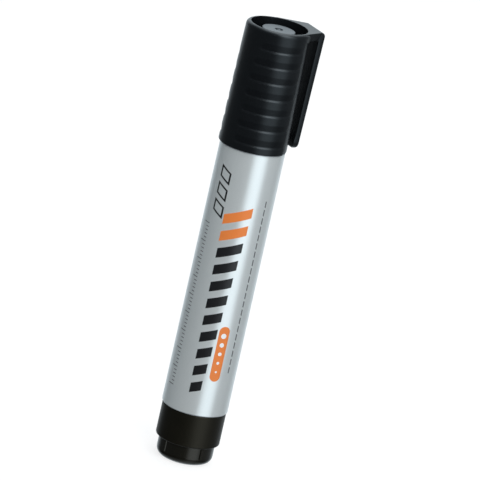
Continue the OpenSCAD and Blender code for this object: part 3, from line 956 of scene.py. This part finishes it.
class MARKER_OT_pocket_clip(bpy.types.Operator):
    """Build the bridge on the cap's head and the pocket clip that hangs from it, as one moulding"""

    bl_idname = "marker.pocket_clip"
    bl_label = "Bridge and clip"

    def execute(self, context):
        marker = context.scene.marker
        clip = skin("bridge_and_clip", [self.moulding(marker.clip, marker.cap)], closed=False)
        clip.data.materials.append(bpy.data.materials["cap_plastic"])
        hinge = next(joint for joint in frame["joints"] if joint["name"] == "clip_flex")["pos_m"]
        hinge[2] - marker.clip.flex_l
        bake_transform(clip)
        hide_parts("pocket_clip")
        return {"FINISHED"}

    def moulding(self, sizes, cap):
        """Rounded flat section carried out along the bridge, round the bend and down the clip to its tip.

        An outer and an inner line in X and Z give the section's two faces. Across the bridge, straight
        lanes fan in from an arc inside the head's wall to the clip's root: a lane's place is that of the
        arc times a share that falls from 1 to 0, plus that of the root times the rest. At both ends the
        two faces meet.
        """
        outer, inner, fan = self.lines(sizes)
        middle, spread = (outer + inner) / 2, (outer - inner) / 2
        half = self.half_width(sizes, middle[:, 1])
        thick = np.linalg.norm(spread, axis=1)

        # Round edges, drawn in where the section gets thin
        broad = fan * cap.rim_r * math.sin(sizes.flank_turn) + (1 - fan) * half
        edge = np.minimum(sizes.edge, 0.95 * thick)
        side_share, face_share = (edge / broad)[:, None], (edge / np.maximum(thick, TINY))[:, None]

        # Once round the section: lane from -1 to 1 across it, face 1 outside and -1 inside, and their insets
        even = np.linspace(-1, 1, 25)
        turn = np.linspace(0, math.pi / 2, 6)[1:]
        flat, one = 0 * even, np.ones(len(turn))
        lane = np.concatenate([even, one, one, -even, -one, -one])
        lane_in = np.concatenate([flat + 1, 1 - np.sin(turn), 1 - np.sin(turn[::-1])] * 2)
        face = np.concatenate([flat + 1, one, -one, flat - 1, -one, one])
        face_in = np.concatenate([flat, 1 - np.cos(turn), 1 - np.cos(turn[::-1])] * 2)
        lane = lane * (1 - side_share * lane_in)
        face = face * (1 - face_share * face_in)

        # The fan's arc starts just inside the rim's rounding, and further out at its flanks
        start_in, flanks_out = 0.05 * MM, 0.35 * MM
        start_r = cap.rim_r - cap.rim_round + start_in + flanks_out * lane ** 2
        flank, fan = lane * sizes.flank_turn, fan[:, None]
        x = fan * start_r * np.cos(flank) + (1 - fan) * (middle[:, :1] + face * spread[:, :1])
        y = fan * start_r * np.sin(flank) + (1 - fan) * half[:, None] * lane
        z = middle[:, 1:] + face * spread[:, 1:]
        return np.stack([x, y, z], axis=-1)

    @staticmethod
    def lines(sizes):
        """Outer and inner line, and the fan's share at each of their stations.

        Both lines lie still along the fan, turn a quarter circle round the bend, run straight to the tip,
        the inner one with a bell-shaped bump, and meet in a half ellipse below it.
        """
        fan_steps, below_rim = 14, 0.02 * MM
        reach, top_z, under_z = clip_high.x, cap_high.z - below_rim, cap_high.z - sizes.bridge_t
        tip_z, tip_r = clip_low.z, sizes.tip_t / 2
        bend = np.linspace(math.pi / 2, 0, 11)
        quarter = np.stack([np.cos(bend), np.sin(bend) - 1], axis=-1)
        down = np.linspace(0, 1, 64)[1:, None]

        def bent(x, z, bend_r, end_x):
            """Bend round the corner at x and z, and the straight arm from there down to the tip."""
            turned = np.array([x - bend_r, z]) + bend_r * quarter
            return turned, turned[-1] + (np.array([end_x, tip_z + tip_r]) - turned[-1]) * down

        end_x = reach - sizes.lean
        outer_bend, outer_arm = bent(reach, top_z, sizes.outer_round, end_x)
        inner_bend, inner_arm = bent(reach - sizes.root_t, under_z, sizes.inner_round, end_x - sizes.tip_t)
        bump_z, bump_l = tip_z + 3 * tip_r, 1.6 * tip_r
        inner_arm[:, 0] -= sizes.bump * np.exp(-((inner_arm[:, 1] - bump_z) / bump_l) ** 2)

        close = np.linspace(0, math.pi / 2, 10)[1:]
        middle = (outer_arm[-1] + inner_arm[-1]) / 2
        open_half = (outer_arm[-1, 0] - inner_arm[-1, 0]) / 2
        drop = np.stack([0 * close, -tip_r * np.sin(close)], axis=-1)
        spread = np.stack([open_half * np.cos(close), 0 * close], axis=-1)
        spread[-1] = 0

        fan = np.linspace(1, 0, fan_steps)
        fan = np.concatenate([fan[:1], fan, np.zeros(len(bend) + len(down) + len(close) - 1)])
        first = (outer_bend[:1] + inner_bend[:1]) / 2
        still = np.ones((fan_steps, 1))
        outer = np.concatenate([
            first, still * outer_bend[0], outer_bend[1:], outer_arm, middle + drop + spread])
        inner = np.concatenate([
            first, still * inner_bend[0], inner_bend[1:], inner_arm, middle + drop - spread])
        return outer, inner, fan

    @staticmethod
    def half_width(sizes, height):
        """Half the clip's width by height: a straight taper that ends in quarter circles at the tip."""
        under_z, tip_z = cap_high.z - sizes.bridge_t, clip_low.z
        down = np.clip((under_z - height) / (under_z - tip_z), 0, 1)
        half = (sizes.root_w + (sizes.tip_w - sizes.root_w) * down) / 2
        corner = np.clip(sizes.tip_round - (height - tip_z), 0, sizes.tip_round)
        return half - sizes.tip_round + np.sqrt(sizes.tip_round ** 2 - corner ** 2)


class MARKER_OT_stage(bpy.types.Operator):
    """Set the floor, the lamps, the world and the camera"""

    bl_idname = "marker.stage"
    bl_label = "Stage"

    def execute(self, context):
        sizes = context.scene.marker.stage
        context.scene.view_settings.view_transform = "Standard"
        turn, rise = sizes.azimuth, sizes.elevation
        back = Vector((math.sin(turn) * math.cos(rise), -math.cos(turn) * math.cos(rise), math.sin(rise)))
        right = Vector((math.cos(turn), math.sin(turn), 0))
        front = Vector((math.sin(turn), -math.cos(turn), 0))
        self.camera(context, sizes, back, right)
        self.floor()
        self.world(context, sizes, front, right)
        up, panel_distance = Vector((0, 0, 1)), 1.2

        def way(turn, rise):
            """Way to a panel at a turn to the right of the camera and a rise above the horizon."""
            level = front * math.cos(turn) + right * math.sin(turn)
            return panel_distance * (level * math.cos(rise) + up * math.sin(rise))

        self.panel("key_panel", sizes, way(sizes.key_turn, sizes.key_rise), sizes.key_power)
        fill = self.panel("fill_panel", sizes, way(sizes.fill_turn, sizes.fill_rise), sizes.fill_power)
        fill.visible_glossy = False
        # The overhead panel hangs a little behind the marker and to its right, in metres
        overhead = front * -0.35 + right * 0.1 + up * 1.1
        self.panel("top_panel", sizes, overhead, sizes.top_power)
        return {"FINISHED"}

    @staticmethod
    def camera(context, sizes, back, right):
        """Camera on its line of sight, rolled, with the view's centre set off from the aimed point."""
        up = back.cross(right)
        c, s = math.cos(sizes.roll), math.sin(sizes.roll)
        across, upward = right * c + up * s, up * c - right * s
        aim = Vector((0, 0, sizes.aim_z)) + across * sizes.aim_right + upward * sizes.aim_up
        lens = bpy.data.cameras.new("camera")
        lens.lens, lens.sensor_width, lens.clip_end = sizes.lens, 36.0, 100.0
        camera = add_object("camera", lens)
        turn = Matrix((across, upward, back)).transposed().to_4x4()
        camera.matrix_world = Matrix.Translation(aim + back * sizes.distance) @ turn
        context.scene.camera = camera

    @staticmethod
    def panel(name, sizes, way, power):
        """Soft square lamp, a way off from the aimed point that it faces, and out of the camera's sight."""
        lamp = bpy.data.lights.new(name, "AREA")
        lamp.shape, lamp.size, lamp.energy = "SQUARE", 0.7, power
        panel = add_object(name, lamp)
        turn = way.to_track_quat("Z", "Y").to_matrix().to_4x4()
        panel.matrix_world = Matrix.Translation(Vector((0, 0, sizes.aim_z)) + way) @ turn
        panel.visible_camera = False
        return panel

    @staticmethod
    def mirrored(way, front, right):
        """Brightness that a mirror finds in a direction.

        It is dim in front, and white where the backdrop stands behind, more so above. A soft lit strip to
        the right and a pale wall at the side fade, with the room, towards the floor, and the floor close by
        is pale. Rise is the sine of the angle above the horizon.
        """
        rise = way.parts()[2]
        level = way.vector("MULTIPLY", (1, 1, 0)).vector("NORMALIZE")

        def zone(turn, half):
            """1 in a zone, 0 outside: its turn to the right of the camera and half its width, in degrees."""
            turn, half = math.radians(turn), math.radians(half)
            line = front * math.cos(turn) + right * math.sin(turn)
            facing = level.vector("DOT_PRODUCT", line, output="Value")
            return facing.ramp(math.cos(1.4 * half), math.cos(0.6 * half))

        # Each is a brightness times the zone or the heights in which it is seen
        room, backdrop, strip, wall = 0.15, 0.8 * zone(178, 40), 1.6 * zone(39, 21), 0.15 * zone(95, 26)
        ceiling, near_floor = 1.6 * rise.ramp(0.75, 0.95), 0.4 * rise.ramp(-0.62, -0.82)
        lifted, above = rise.ramp(-0.46, -0.30), rise.ramp(0.05, 0.30)
        ahead = room + strip * (1 + 0.8 * above) + wall
        return ahead * (0.2 + 0.8 * lifted) + backdrop * (1 + 0.5 * above) + ceiling + near_floor

    @staticmethod
    def rays(wire):
        """Whether a ray comes from the camera, and whether it comes from a mirroring or clear surface."""
        seen, glossy, through = wire.node("ShaderNodeLightPath").outputs(
            "Is Camera Ray", "Is Glossy Ray", "Is Transmission Ray")
        return seen, (glossy + through).clamped()

    def floor(self):
        """Pale floor: a flat disc that takes the shadow and shows white.

        A glow that lights nothing lifts its grey to white. What mirrors it finds the world's studio.
        """
        grey, glow, depth = 0.3, 0.76, 0.02 * MM
        r = np.append(0, np.geomspace(0.05, 5.0, 24))
        disc = revolved(np.stack([r, np.full_like(r, -depth)], axis=-1), full_turn(96))
        floor = skin("floor", [disc], closed=False)
        material, wire = start_material("floor_paper")
        seen, mirror = self.rays(wire)
        paper = wire.node("ShaderNodeBsdfDiffuse", None, {"Color": (grey, grey, grey, 1)})
        light = wire.node(
            "ShaderNodeEmission", None, {"Color": (1, 1, 1, 1), "Strength": glow * (seen | mirror)})
        both = wire.node("ShaderNodeAddShader", None, {0: paper, 1: light})
        wire.node("ShaderNodeOutputMaterial", None, {"Surface": both})
        floor.data.materials.append(material)
        floor.visible_glossy = False

    def world(self, context, sizes, front, right):
        """White backdrop for the camera, the studio for what mirrors it, and an even light for the rest."""
        world = bpy.data.worlds.new("studio")
        wire = start_tree(world)
        seen, mirror = self.rays(wire)
        way = wire.node("ShaderNodeTexCoord", output="Generated")
        studio = mirror * self.mirrored(way, front, right)
        strength = seen + studio + (1 - seen - mirror) * sizes.ambient
        sky = wire.node("ShaderNodeBackground", None, {"Color": rgba(sizes.sky), "Strength": strength})
        wire.node("ShaderNodeOutputWorld", None, {"Surface": sky})
        context.scene.world = world


class MARKER_PT_panel(bpy.types.Panel):
    """List of the marker's pieces in the 3D view's sidebar"""

    bl_idname = "MARKER_PT_panel"
    bl_label = "Permanent marker"
    bl_space_type = "VIEW_3D"
    bl_region_type = "UI"
    bl_category = "Marker"

    def draw(self, context):
        for operator in OPERATORS:
            self.layout.operator(operator.bl_idname)


GROUPS = (
    BarrelSizes, PlugSizes, NibSizes, CapSizes, LinerSizes, ClipSizes, FinishColours, StageSettings,
    MarkerSettings)
OPERATORS = (
    MARKER_OT_barrel, MARKER_OT_end_plug, MARKER_OT_nib, MARKER_OT_ink_core, MARKER_OT_cap_shell,
    MARKER_OT_cap_liner, MARKER_OT_pocket_clip, MARKER_OT_stage)
CLASSES = (*GROUPS, *OPERATORS, MARKER_PT_panel)


def register():
    for each in CLASSES:
        bpy.utils.register_class(each)
    bpy.types.Scene.marker = bpy.props.PointerProperty(type=MarkerSettings)


def unregister():
    del bpy.types.Scene.marker
    for each in reversed(CLASSES):
        bpy.utils.unregister_class(each)


def main():
    """Builds every piece and the stage."""
    register()
    bpy.ops.marker.barrel()
    bpy.ops.marker.end_plug()
    bpy.ops.marker.nib()
    bpy.ops.marker.ink_core()
    bpy.ops.marker.cap_shell()
    bpy.ops.marker.cap_liner()
    bpy.ops.marker.pocket_clip()
    bpy.ops.marker.stage()


if __name__ == "__main__":
    main()
